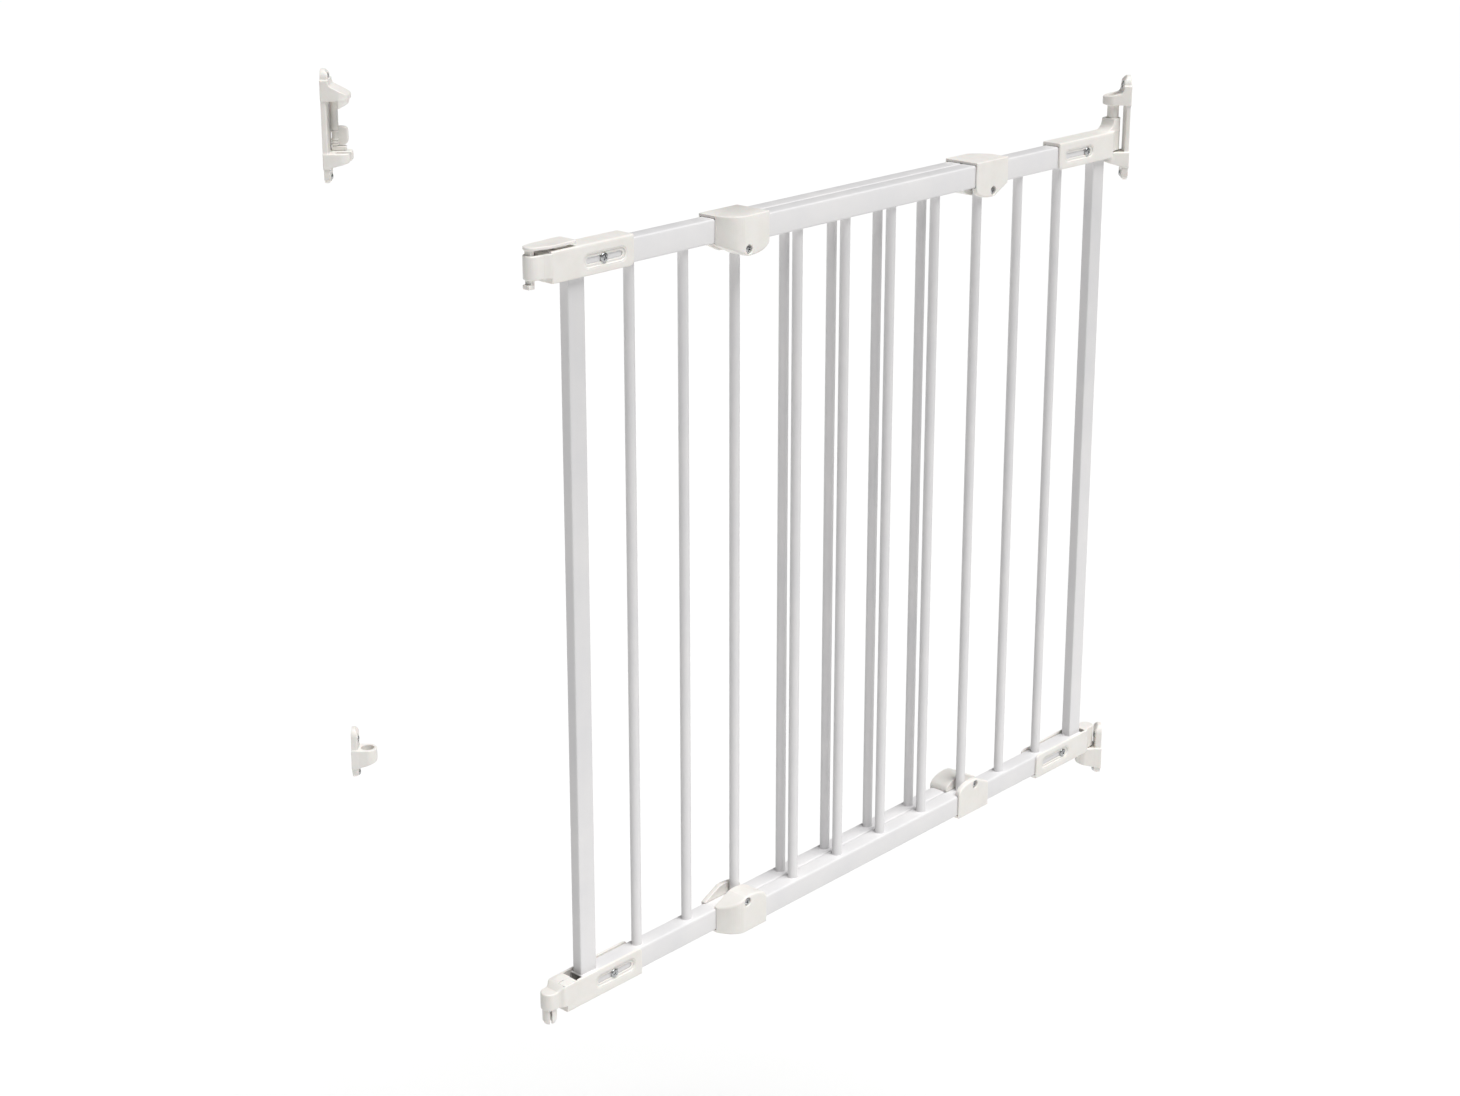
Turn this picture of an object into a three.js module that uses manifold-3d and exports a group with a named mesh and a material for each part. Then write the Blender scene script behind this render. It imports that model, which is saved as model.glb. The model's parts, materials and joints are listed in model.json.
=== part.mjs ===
// Extending safety baby gate: two telescoping barred steel frames held between moulded corners,
// hung on two pins at the hinge wall and caught by a pin and a hooked thumb latch at the latch wall.
//
// Millimetres, +Z up, +X towards the hinge-side wall, -Y towards the side that the gate opens to.
// The origin is the centre of the wall face of the lower hinge bracket.
import * as THREE from "three";
import { mergeVertices } from "three/addons/utils/BufferGeometryUtils.js";
import Module from "manifold-3d";

const wasm = await Module();
wasm.setup();

// ---------------------------------------------------------------- driving dimensions
const GAP = 0.3; // left between two pieces that touch
const AXIS_SPAN = 836; // hinge axis to latch pin axis
const WALL_TO_AXIS = 18; // wall face to either axis
const RAIL_BASE = 5; // underside of the lower rails above the origin
const OPEN_DEG = 45; // how far the gate stands open
const PANEL_H = 720; // underside of the lower rails to the top of the upper rails

const RAIL = { h: 23, w: 18, wall: 1.2, centres: 18.6 }; // centres: front rail to rear rail
const BAR = { r: 5, wall: 0.7, pitch: 69.2, count: 7 };
const STILE = { along: 20, across: 11.5, wall: 1.2 };
const HINGE_STILE = 30.6; // hinge axis to the middle of its stile
const LATCH_STILE = 46; // latch axis to the middle of its stile
const RAIL_REACH = 571.5; // middle of the stile to the free end of its rails
const RAIL_START = 10.6; // rails begin this far beyond the stile's middle

const CORNER = { half: 12, top: 724, bottom: 695.5, inner: 112, shoulder: 14, step: 12.8 };
const NOSE = { r: 8.2, joins: 16 };
const OPENS_AT = { hinge: 15.7, latch: 26.7 }; // the web between nose and stile, clear of the stile's travel
const BOSS = { top: 737, fillet: 15 };
const SLOT = { from: 51, to: 101, z: 708.5, recess: 11.5, shank: 5.6, depth: 1.8 };
const CORNER_SCREW = { head: 4.4, shank: 2.2, headLength: 1.6, length: 6.5, at: 29.4 };

const SLEEVE = { inner: 535.6, outer: 588.6, own: 579, proud: 2.5, top: 723.5, bottom: 695.5 };
const LOBE = { low: 684.5, at: 563.9, ear: 6, screwZ: 691 };
const SLEEVE_SCREW = { head: 4, shank: 1.9, headLength: 1.8, recess: 0.8, fixing: 20, clamp: 4.6 };

const PLATE = { thick: 5.5, half: 10 };
const TAIL_THICK = 7.5;
const ARM = { r: 11.5, low: { top: 700, tip: 690.5, root: 684 }, underside: 751, topTip: 759.5, topRoot: 764 };
const CATCH_ARM = { underside: 757, topTip: 762.5, topRoot: 774, rear: 21 };
const HINGE_CUP = { r: 11, rim: -2.5, tip: -22, root: -26, floor: -19.8 };
const LATCH_CUP = { r: 11, rim: 0, tip: -15.5, root: -23, floor: -13.2 };
const CUP_BORE_R = 7.6;
const WALL_SCREW = { head: 3.6, shank: 1.9, headLength: 2.6, sink: 1.4 };

const HINGE_PIN = { r: 6.25, top: 757, upperFoot: 728, lowerTop: 8, tip: -19.3 };
const LATCH_PIN = { r: 6.7, top: 16, tip: -12.5, slit: 2.2, slitTop: 2 };
const THUMB = { back: 43, half: 11, r: 8, low: 726.4, high: 729.7 };
const TONGUE = { front: -5.1, back: -1, half: 4, toe: -8, toeTop: 696.5, foot: 692.5 };
const LATCH_TRAVEL = 6.5;

const STEEL_WHITE = new THREE.MeshStandardMaterial({ color: 0xe9e8e4, roughness: 0.38, metalness: 0.0 });
const PLASTIC_WHITE = new THREE.MeshStandardMaterial({ color: 0xe6e2da, roughness: 0.5, metalness: 0.0 });
const ZINC = new THREE.MeshStandardMaterial({ color: 0xa9abad, roughness: 0.35, metalness: 1.0 });

// ---------------------------------------------------------------- solids
// A closed three.js geometry as a manifold solid.
function solid(geometry) {
  const bare = new THREE.BufferGeometry();
  const source = geometry.index ? geometry.toNonIndexed() : geometry;
  bare.setAttribute("position", source.getAttribute("position"));
  const merged = mergeVertices(bare, 1e-4);
  return new wasm.Manifold(
    new wasm.Mesh({
      numProp: 3,
      vertProperties: merged.attributes.position.array,
      triVerts: new Uint32Array(merged.index.array),
    }),
  );
}

// A manifold solid as a named mesh.
function piece(name, shape, material) {
  const { numProp, numVert, vertProperties, triVerts } = shape.getMesh();
  const points = new Float32Array(numVert * 3);
  for (let i = 0; i < numVert; i++) {
    points.set(vertProperties.subarray(i * numProp, i * numProp + 3), i * 3);
  }
  const geometry = new THREE.BufferGeometry();
  geometry.setAttribute("position", new THREE.BufferAttribute(points, 3));
  geometry.setIndex(new THREE.BufferAttribute(triVerts, 1));
  geometry.computeVertexNormals();
  const mesh = new THREE.Mesh(geometry, material);
  mesh.name = name;
  return mesh;
}

const union = (...shapes) => shapes.reduce((all, next) => all.add(next));

function outline(points) {
  return new THREE.Shape(points.map(([x, y]) => new THREE.Vector2(x, y)));
}

function disc(r, x = 0, y = 0) {
  const shape = new THREE.Shape();
  shape.absarc(x, y, r, 0, 2 * Math.PI, false);
  return shape;
}

// A slot shape with round ends, lying along x from x0 to x1.
function stadium(x0, x1, y, r) {
  const shape = new THREE.Shape();
  shape.absarc(x1 - r, y, r, -Math.PI / 2, Math.PI / 2, false);
  shape.absarc(x0 + r, y, r, Math.PI / 2, (3 * Math.PI) / 2, false);
  return shape;
}

function extruded(shape, depth, curveSegments) {
  return new THREE.ExtrudeGeometry(shape, { depth, curveSegments, bevelEnabled: false });
}

// Prisms: the shape's own axes are (x, y), (x, z) and (y, z) in turn.
function prismZ(shape, z0, z1, segments = 16) {
  return solid(extruded(shape, z1 - z0, segments).translate(0, 0, z0));
}

function prismY(shape, y0, y1, segments = 16) {
  return solid(extruded(shape, y1 - y0, segments).rotateX(Math.PI / 2).translate(0, y1, 0));
}

const ONTO_X = new THREE.Matrix4().set(0, 0, 1, 0, 1, 0, 0, 0, 0, 1, 0, 0, 0, 0, 0, 1);

function prismX(shape, x0, x1, segments = 16) {
  return solid(extruded(shape, x1 - x0, segments).applyMatrix4(ONTO_X).translate(x0, 0, 0));
}

function box(x0, x1, y0, y1, z0, z1) {
  const block = new THREE.BoxGeometry(x1 - x0, y1 - y0, z1 - z0);
  return solid(block.translate((x0 + x1) / 2, (y0 + y1) / 2, (z0 + z1) / 2));
}

// ---------------------------------------------------------------- one telescoping frame
// Its own axes: x along the rails from the middle of the stile, y towards the frame's own outer side.
const PASSING_Y = -RAIL.centres; // centre of the other frame's rail
const OWN_FACE = RAIL.w / 2;
const INNER_LOW = RAIL.h; // top of the lower rail
const INNER_HIGH = PANEL_H - RAIL.h; // underside of the upper rail

function rail() {
  const half = RAIL.w / 2;
  const tube = box(-RAIL_START, RAIL_REACH, -half, half, INNER_HIGH, PANEL_H);
  const hollow = box(
    -RAIL_START - 1, RAIL_REACH + 1,
    RAIL.wall - half, half - RAIL.wall,
    INNER_HIGH + RAIL.wall, PANEL_H - RAIL.wall,
  );
  return tube.subtract(hollow);
}

// A rail with the hole for its corner screw, on the side that the corner's slot is on.
function drilledRail(screwSide) {
  const ends = [screwSide * (OWN_FACE - 4), screwSide * (OWN_FACE + 1)].sort((a, b) => a - b);
  return rail().subtract(prismY(disc(CORNER_SCREW.shank + GAP, CORNER_SCREW.at, SLOT.z), ...ends, 6));
}

const UPRIGHT = [INNER_LOW + GAP, INNER_HIGH - GAP]; // bars and stiles are open tubes between the rails

function bar(x) {
  const [z0, z1] = UPRIGHT;
  const hollow = prismZ(disc(BAR.r - BAR.wall, x, 0), z0 - 1, z1 + 1, 7);
  return prismZ(disc(BAR.r, x, 0), z0, z1, 7).subtract(hollow);
}

function stile() {
  const [a, c, t] = [STILE.along / 2, STILE.across / 2, STILE.wall];
  const [z0, z1] = UPRIGHT;
  return box(-a, a, -c, c, z0, z1).subtract(box(t - a, a - t, t - c, c - t, z0 - 1, z1 + 1));
}

// The screw that holds the rail in its corner: y is measured from the rail's centre.
function cornerScrew(side) {
  const seat = CORNER.half - SLOT.depth;
  const axis = [CORNER_SCREW.at, SLOT.z];
  const head = prismY(disc(CORNER_SCREW.head, ...axis), seat, seat + CORNER_SCREW.headLength, 8);
  const shank = prismY(disc(CORNER_SCREW.shank, ...axis), seat - CORNER_SCREW.length, seat + GAP, 6);
  const screw = head.add(shank);
  return side > 0 ? screw : screw.mirror([0, 1, 0]);
}

// The sleeve at the free end of the rails: it grips its own rail's end and lets the other frame's rail pass.
const OWN_SIDE = OWN_FACE + SLEEVE.proud;
const PASSING_SIDE = PASSING_Y - OWN_FACE - SLEEVE.proud;

// Plan view: the own side rounds off just past the end of the rail that it covers.
function sleevePlan() {
  const plan = new THREE.Shape();
  plan.moveTo(SLEEVE.inner, PASSING_SIDE);
  plan.lineTo(SLEEVE.outer, PASSING_SIDE);
  plan.lineTo(SLEEVE.outer, PASSING_Y + OWN_FACE + 1.2);
  plan.bezierCurveTo(SLEEVE.outer - 3, -4, SLEEVE.own + 3, OWN_SIDE - 3, SLEEVE.own - 9, OWN_SIDE);
  plan.lineTo(SLEEVE.inner, OWN_SIDE);
  plan.closePath();
  return plan;
}

// Side view of the sleeve: a ramp down from the outer end, lowest at the screw, rounding up to the inner end.
function sleeveSide() {
  const side = new THREE.Shape();
  side.moveTo(SLEEVE.inner, SLEEVE.top);
  side.lineTo(SLEEVE.inner, SLEEVE.bottom);
  side.bezierCurveTo(SLEEVE.inner + 1, LOBE.low + 3, LOBE.at - 14, LOBE.low, LOBE.at - 2, LOBE.low);
  side.lineTo(LOBE.at + 3, LOBE.low + 0.5);
  side.lineTo(SLEEVE.outer, SLEEVE.bottom);
  side.lineTo(SLEEVE.outer, SLEEVE.top);
  side.closePath();
  return side;
}

function sleeve() {
  const body = prismZ(sleevePlan(), LOBE.low - 1, SLEEVE.top, 8).intersect(
    prismY(sleeveSide(), PASSING_SIDE - 1, OWN_SIDE + 1, 8),
  );
  const clear = OWN_FACE + GAP;
  const roof = PANEL_H + GAP;
  const floor = INNER_HIGH - GAP;
  const ownRail = box(SLEEVE.inner - 1, RAIL_REACH + GAP, -clear, clear, floor, roof);
  const passingRail = box(SLEEVE.inner - 1, SLEEVE.outer + 1, PASSING_Y - clear, PASSING_Y + clear, floor, roof);
  const ear = PASSING_SIDE + LOBE.ear;
  const barWay = box(SLEEVE.inner - 1, SLEEVE.outer + 1, ear, ear + 2 * BAR.r + 2, LOBE.low - 2, floor + 1);
  const { head, shank, recess, headLength, fixing, clamp } = SLEEVE_SCREW;
  const axis = [LOBE.at, LOBE.screwZ];
  const seat = OWN_SIDE - recess - headLength;
  const farSeat = PASSING_SIDE + recess + headLength;
  return body
    .subtract(ownRail)
    .subtract(passingRail)
    .subtract(barWay)
    .subtract(prismY(disc(head + GAP, ...axis), seat - GAP, OWN_SIDE + 1, 10))
    .subtract(prismY(disc(shank + GAP, ...axis), seat - fixing, OWN_SIDE, 6))
    .subtract(prismY(disc(head + GAP, ...axis), PASSING_SIDE - 1, farSeat + GAP, 10))
    .subtract(prismY(disc(shank + GAP, ...axis), PASSING_SIDE, farSeat + clamp, 6));
}

// A sleeve screw: the fixing screw goes in from the own side, the short clamp screw from the other.
function sleeveScrew(kind) {
  const { head, shank, recess, headLength, fixing, clamp } = SLEEVE_SCREW;
  const axis = [LOBE.at, LOBE.screwZ];
  if (kind === "fixing") {
    const top = OWN_SIDE - recess;
    const grip = prismY(disc(shank, ...axis), top - fixing, top - headLength + GAP, 6);
    return grip.add(prismY(disc(head, ...axis), top - headLength, top, 10));
  }
  const top = PASSING_SIDE + recess;
  const grip = prismY(disc(shank, ...axis), top + headLength - GAP, top + clamp, 6);
  return grip.add(prismY(disc(head, ...axis), top, top + headLength, 10));
}

// The lower twin of a piece at the top of the panel.
function atBottom(mesh) {
  mesh.scale.z = -1;
  mesh.position.z = PANEL_H;
  return mesh;
}

// screwSide is +1 where the corner's slot is on the frame's own outer side and -1 where it is on its inner side.
function frame(name, screwSide) {
  const group = new THREE.Group();
  group.add(piece(`${name}_upper_rail`, drilledRail(screwSide), STEEL_WHITE));
  group.add(atBottom(piece(`${name}_lower_rail`, drilledRail(screwSide), STEEL_WHITE)));
  group.add(piece(`${name}_stile`, stile(), STEEL_WHITE));
  for (let k = 1; k <= BAR.count; k++) {
    group.add(piece(`${name}_bar_${k}`, bar(k * BAR.pitch), STEEL_WHITE));
  }
  for (const level of ["upper", "lower"]) {
    const parts = [
      piece(`${name}_${level}_sleeve`, sleeve(), PLASTIC_WHITE),
      piece(`${name}_${level}_fixing_screw`, sleeveScrew("fixing"), ZINC),
      piece(`${name}_${level}_clamp_screw`, sleeveScrew("clamp"), ZINC),
      piece(`${name}_${level}_corner_screw`, cornerScrew(screwSide), ZINC),
    ];
    group.add(...(level === "lower" ? parts.map(atBottom) : parts));
  }
  return group;
}

// ---------------------------------------------------------------- moulded corners
// Their own axes: x from the pin axis towards the middle of the gate, y towards the slotted face, upper corner.
function noseOutline(r) {
  const shape = new THREE.Shape();
  shape.moveTo(NOSE.joins, -r);
  shape.lineTo(NOSE.joins, r);
  shape.lineTo(0, r);
  shape.absarc(0, 0, r, Math.PI / 2, (3 * Math.PI) / 2, false);
  shape.closePath();
  return shape;
}

// The body widens from the nose to its full width, and reaches its full height clear of the bracket's arm.
// Its channel holds the rail, and is open towards the bars from the given distance on.
function cornerBody(noseLow, noseHigh, opensAt) {
  const { half, shoulder, inner, top, bottom, step } = CORNER;
  const plan = outline([[7, -NOSE.r], [shoulder, -half], [inner, -half], [inner, half], [shoulder, half], [7, NOSE.r]]);
  const below = box(0, step, -half - 1, half + 1, bottom - 1, noseLow);
  const above = box(0, step, -half - 1, half + 1, noseHigh, top + 1);
  const clear = OWN_FACE + GAP;
  const channel = box(NOSE.joins - GAP, inner + 1, -clear, clear, INNER_HIGH - GAP, PANEL_H + GAP);
  const opening = box(opensAt, inner + 1, -clear, clear, bottom - 1, INNER_HIGH);
  return prismZ(plan, bottom, top).subtract(below).subtract(above).subtract(channel).subtract(opening);
}

function cornerSlot() {
  const { from, to, z, recess, shank, depth } = SLOT;
  const seat = CORNER.half - depth;
  const dish = prismY(stadium(from, to, z, recess / 2), seat - GAP, CORNER.half + 1, 10);
  const through = prismY(stadium(from + 3, to - 3, z, shank / 2), OWN_FACE - 1, CORNER.half + 1, 8);
  return dish.add(through);
}

function corner(noseLow, noseHigh, opensAt) {
  const nose = prismZ(noseOutline(NOSE.r), noseLow, noseHigh, 12);
  return cornerBody(noseLow, noseHigh, opensAt).add(nose).subtract(cornerSlot());
}

// The round boss on the upper hinge corner, running down to the corner's top in a curve.
function hingeBoss() {
  const side = new THREE.Shape();
  side.moveTo(-NOSE.r, CORNER.top - 2);
  side.lineTo(-NOSE.r, BOSS.top);
  side.lineTo(NOSE.r, BOSS.top);
  side.quadraticCurveTo(NOSE.r + 2, CORNER.top + 1, NOSE.r + BOSS.fillet, CORNER.top);
  side.lineTo(NOSE.r + BOSS.fillet, CORNER.top - 2);
  side.closePath();
  const plan = new THREE.Shape();
  plan.moveTo(NOSE.r + BOSS.fillet + 1, -NOSE.r);
  plan.lineTo(NOSE.r + BOSS.fillet + 1, NOSE.r);
  plan.lineTo(0, NOSE.r);
  plan.absarc(0, 0, NOSE.r, Math.PI / 2, (3 * Math.PI) / 2, false);
  plan.closePath();
  return prismY(side, -NOSE.r, NOSE.r, 8).intersect(prismZ(plan, CORNER.top - 2, BOSS.top, 12));
}

const LOWER_NOSE = { hinge: [-1.5, 24], latch: [3, 20] };
const flip = (z) => PANEL_H - z; // a height on a lower corner, in its upper twin's axes

function upperHingeCorner() {
  const bore = prismZ(disc(HINGE_PIN.r + GAP), HINGE_PIN.upperFoot - GAP, BOSS.top + 1, 12);
  return corner(701.5, CORNER.top, OPENS_AT.hinge).add(hingeBoss()).subtract(bore);
}

function lowerHingeCorner() {
  const [low, high] = LOWER_NOSE.hinge;
  const bore = prismZ(disc(HINGE_PIN.r + GAP), flip(HINGE_PIN.lowerTop + GAP), flip(low) + 1, 12);
  return corner(flip(high), flip(low), OPENS_AT.hinge).subtract(bore);
}

function upperLatchCorner() {
  const { front, back, half } = TONGUE;
  const slot = box(front - GAP, back + LATCH_TRAVEL + GAP, -half - GAP, half + GAP, 690, CORNER.top + 1);
  return corner(700.5, CORNER.top - 2, OPENS_AT.latch).subtract(slot).subtract(springPocket());
}

// The pin and the key that locks it sit in the lower latch corner from outside.
const KEY = { from: 10, to: 26.5, inside: 1.2, outside: 10.4, foot: 14 };

function lowerLatchCorner() {
  const [low, high] = LOWER_NOSE.latch;
  const bore = prismZ(disc(LATCH_PIN.r + GAP), flip(LATCH_PIN.top + GAP), flip(low) + 1, 12);
  const seat = box(KEY.from, KEY.to, KEY.inside, KEY.outside, CORNER.bottom - 1, flip(KEY.foot));
  return corner(flip(high), flip(low), OPENS_AT.latch).subtract(bore).subtract(seat);
}

function latchKey() {
  const { from, to, inside, outside, foot } = KEY;
  return box(from + GAP, to - GAP, inside + GAP, outside - GAP, CORNER.bottom, flip(foot) - GAP);
}

// ---------------------------------------------------------------- pins and latch
// A pin split into three prongs at its tip, so that it centres itself in the cup.
function latchPin() {
  const { r, top, tip, slit, slitTop } = LATCH_PIN;
  const taper = new THREE.LatheGeometry(
    [[0, tip], [r - 1.6, tip], [r, tip + 3], [r, top], [0, top]].map(([x, y]) => new THREE.Vector2(x, y)),
    24,
  ).rotateX(Math.PI / 2);
  const slits = [0, 120, 240].map((turn) => box(0, r + 1, -slit / 2, slit / 2, tip - 1, slitTop).rotate([0, 0, turn]));
  return solid(taper).subtract(union(...slits));
}

function hingePin(low, high) {
  return prismZ(disc(HINGE_PIN.r), low, high, 12);
}

// The thumb cap rides on the corner; its tongue hangs through the nose and hooks under the catch's arm.
function thumbLatch() {
  const { back, half, r, low, high } = THUMB;
  const cap = new THREE.Shape();
  cap.moveTo(back, -half);
  cap.lineTo(back, half);
  cap.lineTo(CORNER.shoulder, half);
  cap.quadraticCurveTo(NOSE.r, half, 0, r);
  cap.absarc(0, 0, r, Math.PI / 2, (3 * Math.PI) / 2, false);
  cap.quadraticCurveTo(NOSE.r, -half, CORNER.shoulder, -half);
  cap.closePath();
  const tongue = box(TONGUE.front, TONGUE.back, -TONGUE.half, TONGUE.half, TONGUE.foot, high - 1);
  const toe = box(TONGUE.toe, TONGUE.front + 1, -TONGUE.half, TONGUE.half, TONGUE.foot, TONGUE.toeTop);
  const runner = box(20, 34, -7, 7, CORNER.top + GAP, low + 1);
  return union(prismZ(cap, low, high, 12), tongue, toe, runner);
}

// The return spring lies behind the tongue, in a pocket that runs on from its slot.
const SPRING = { r: 2.4, z: 712, from: TONGUE.back + GAP, to: NOSE.joins - 2, wire: 0.45, turns: 4 };

function springPocket() {
  return prismX(disc(SPRING.r + 0.6, 0, SPRING.z), TONGUE.back, SPRING.to + GAP, 8);
}

class Coil extends THREE.Curve {
  getPoint(t, target = new THREE.Vector3()) {
    const turn = 2 * Math.PI * SPRING.turns * t;
    const r = SPRING.r - SPRING.wire;
    const from = SPRING.from + SPRING.wire;
    const to = SPRING.to - SPRING.wire;
    return target.set(from + (to - from) * t, r * Math.cos(turn), SPRING.z + r * Math.sin(turn));
  }
}

function latchSpring() {
  const steps = SPRING.turns * 10;
  return solid(
    new THREE.ExtrudeGeometry(disc(SPRING.wire), { extrudePath: new Coil(), steps, curveSegments: 3 }),
  );
}

// ---------------------------------------------------------------- wall brackets
// Their own axes: x out from the wall, y as the row's, heights measured from the panel's base.
function backplate(z0, z1, side) {
  return prismX(stadiumUp(z0, z1, PLATE.half), 0, 40, 6).intersect(prismY(side, -PLATE.half - 1, PLATE.half + 1));
}

function stadiumUp(z0, z1, r) {
  const shape = new THREE.Shape();
  shape.absarc(0, z1 - r, r, 0, Math.PI, false);
  shape.absarc(0, z0 + r, r, Math.PI, 2 * Math.PI, false);
  return shape;
}

// An arm or a cup: straight sides from the wall, round about the pin axis.
function dOutline(r, rear = r) {
  const shape = new THREE.Shape();
  shape.moveTo(0, -r);
  shape.lineTo(WALL_TO_AXIS, -r);
  shape.absarc(WALL_TO_AXIS, 0, r, -Math.PI / 2, rear > r ? 0 : Math.PI / 2, false);
  if (rear > r) {
    shape.lineTo(WALL_TO_AXIS + r, rear - 4);
    shape.lineTo(WALL_TO_AXIS + r - 4, rear);
  }
  shape.lineTo(0, rear);
  shape.closePath();
  return shape;
}

function wallScrewHole(z, thick) {
  const { head, shank, sink } = WALL_SCREW;
  const hole = prismX(disc(shank + GAP, 0, z), -1, thick + 1, 6);
  return hole.add(prismX(disc(head + GAP, 0, z), thick - sink, 60, 8));
}

function wallScrew(z, thick) {
  const { head, shank, headLength, sink } = WALL_SCREW;
  const seat = thick - sink + GAP;
  const grip = prismX(disc(shank, 0, z), 0, seat + GAP, 6);
  return grip.add(prismX(disc(head, 0, z), seat, seat + headLength, 8));
}

const REACH = WALL_TO_AXIS + ARM.r + 1;

// Tails taper from the arms to thin ends at the wall.
function plateSide(z0, z1, low, high) {
  return outline([
    [0, z0], [TAIL_THICK - 3, z0], [TAIL_THICK, z0 + 4], [TAIL_THICK, low],
    [PLATE.thick, low], [PLATE.thick, high], [TAIL_THICK + 1, high],
    [TAIL_THICK + 1, z1 - 6], [TAIL_THICK - 3, z1], [0, z1],
  ]);
}

const UPPER_HINGE = { low: 668, high: 783, screws: [675.5, 773] };
const UPPER_CATCH = { low: 666, high: 792, screws: [674, 783] };

function lowArmSide() {
  const { top, tip, root } = ARM.low;
  return outline([[0, root - 1], [TAIL_THICK, root], [REACH, tip], [REACH, top], [0, top]]);
}

function upperHingeBracket() {
  const { low, high, screws } = UPPER_HINGE;
  const arms = prismZ(dOutline(ARM.r), low, high, 7).intersect(
    union(
      prismY(lowArmSide(), -ARM.r - 1, ARM.r + 1),
      prismY(
        outline([
          [0, ARM.underside], [REACH, ARM.underside], [REACH, ARM.topTip],
          [TAIL_THICK + 2, ARM.topRoot], [0, ARM.topRoot],
        ]),
        -ARM.r - 1, ARM.r + 1,
      ),
    ),
  );
  const shape = backplate(low, high, plateSide(low, high, ARM.low.root, ARM.underside))
    .add(arms)
    .subtract(prismZ(disc(HINGE_PIN.r + GAP, WALL_TO_AXIS, 0), ARM.underside - 1, 800, 12));
  return shape.subtract(union(...screws.map((z) => wallScrewHole(z, TAIL_THICK))));
}

// The catch: its lower arm is slotted for the tongue, with a roof for the toe to hook under, and its upper
// arm has a wedge lip. A stop block stands behind the mouth on a spindle, so the gate can't swing through.
const SPINDLE = { x: 10.6, y: 14.2, r: 4.3 };
const STOP = { from: 6.6, to: 22.6, near: 9.5, far: 19, top: 722.5, waist: 12.6, foot: 715 };

function catchLip() {
  const { underside } = CATCH_ARM;
  const lip = prismY(outline([[18.4, underside + 1], [18.4, 748.5], [REACH, 755], [REACH, underside + 1]]), -13, 13);
  return lip.intersect(prismZ(dOutline(ARM.r), 740, underside + 1, 10));
}

function upperCatchBracket() {
  const { low, high, screws } = UPPER_CATCH;
  const { underside, topTip, topRoot, rear } = CATCH_ARM;
  const arms = prismZ(dOutline(ARM.r, rear), low, high, 7).intersect(
    union(
      prismY(lowArmSide(), -ARM.r - 1, rear + 1),
      prismY(
        outline([[0, underside], [REACH, underside], [REACH, topTip], [TAIL_THICK + 2, topRoot], [0, topRoot]]),
        -ARM.r - 1, rear + 1,
      ),
    ),
  );
  const web = box(0, PLATE.thick, -PLATE.half, rear, ARM.low.top - 1, underside + 1);
  const hookSlot = box(
    WALL_TO_AXIS + TONGUE.front - GAP, 60, -TONGUE.half - 0.6, TONGUE.half + 0.6, 680, ARM.low.top + 1,
  );
  const undercut = box(
    WALL_TO_AXIS + TONGUE.toe - 0.6, 60, -TONGUE.half - 0.6, TONGUE.half + 0.6, 680, TONGUE.toeTop + 0.5,
  );
  return backplate(low, high, plateSide(low, high, ARM.low.root, underside))
    .add(arms)
    .add(web)
    .add(catchLip())
    .subtract(hookSlot)
    .subtract(undercut)
    .subtract(union(...screws.map((z) => wallScrewHole(z, TAIL_THICK))));
}

function stopBlock() {
  const { from, to, near, far, top, waist, foot: step } = STOP;
  const foot = ARM.low.top + GAP;
  return box(waist, to, near, far, foot, top).add(box(from, waist + 1, near + 1, far, foot, step));
}

function stopSpindle() {
  return prismZ(disc(SPINDLE.r, SPINDLE.x, SPINDLE.y), STOP.top + GAP, CATCH_ARM.underside - GAP, 10);
}

function lowerBracket(cup, screws) {
  const [low, high] = [-36, 26];
  const side = outline([
    [0, low], [TAIL_THICK - 3, low], [TAIL_THICK, low + 4], [TAIL_THICK, high - 6], [TAIL_THICK - 3, high], [0, high],
  ]);
  const reach = WALL_TO_AXIS + cup.r + 1;
  const body = prismZ(dOutline(cup.r), low, cup.rim, 8).intersect(
    prismY(outline([[0, cup.root - 1], [TAIL_THICK, cup.root], [reach, cup.tip], [reach, cup.rim], [0, cup.rim]]), -20, 20),
  );
  return backplate(low, high, side)
    .add(body)
    .subtract(prismZ(disc(CUP_BORE_R, WALL_TO_AXIS, 0), cup.floor, 40, 10))
    .subtract(union(...screws.map((z) => wallScrewHole(z, TAIL_THICK))));
}

// ---------------------------------------------------------------- assembly
const OPPOSITE_WALL = -(AXIS_SPAN + 2 * WALL_TO_AXIS);
const LOWER_SCREWS = [-31, 11];

// The hinge wall is at x = 0, so its brackets face the other way from their own axes.
const hingeWall = new THREE.Group();
hingeWall.scale.x = -1;
hingeWall.position.z = RAIL_BASE;
hingeWall.add(piece("upper_hinge_bracket", upperHingeBracket(), PLASTIC_WHITE));
hingeWall.add(piece("lower_hinge_bracket", lowerBracket(HINGE_CUP, LOWER_SCREWS), PLASTIC_WHITE));

const latchWall = new THREE.Group();
latchWall.position.set(OPPOSITE_WALL, 0, RAIL_BASE);
latchWall.add(piece("upper_catch_bracket", upperCatchBracket(), PLASTIC_WHITE));
latchWall.add(piece("lower_latch_bracket", lowerBracket(LATCH_CUP, LOWER_SCREWS), PLASTIC_WHITE));
latchWall.add(piece("swing_stop_block", stopBlock(), PLASTIC_WHITE));
latchWall.add(piece("swing_stop_spindle", stopSpindle(), PLASTIC_WHITE));

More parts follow.
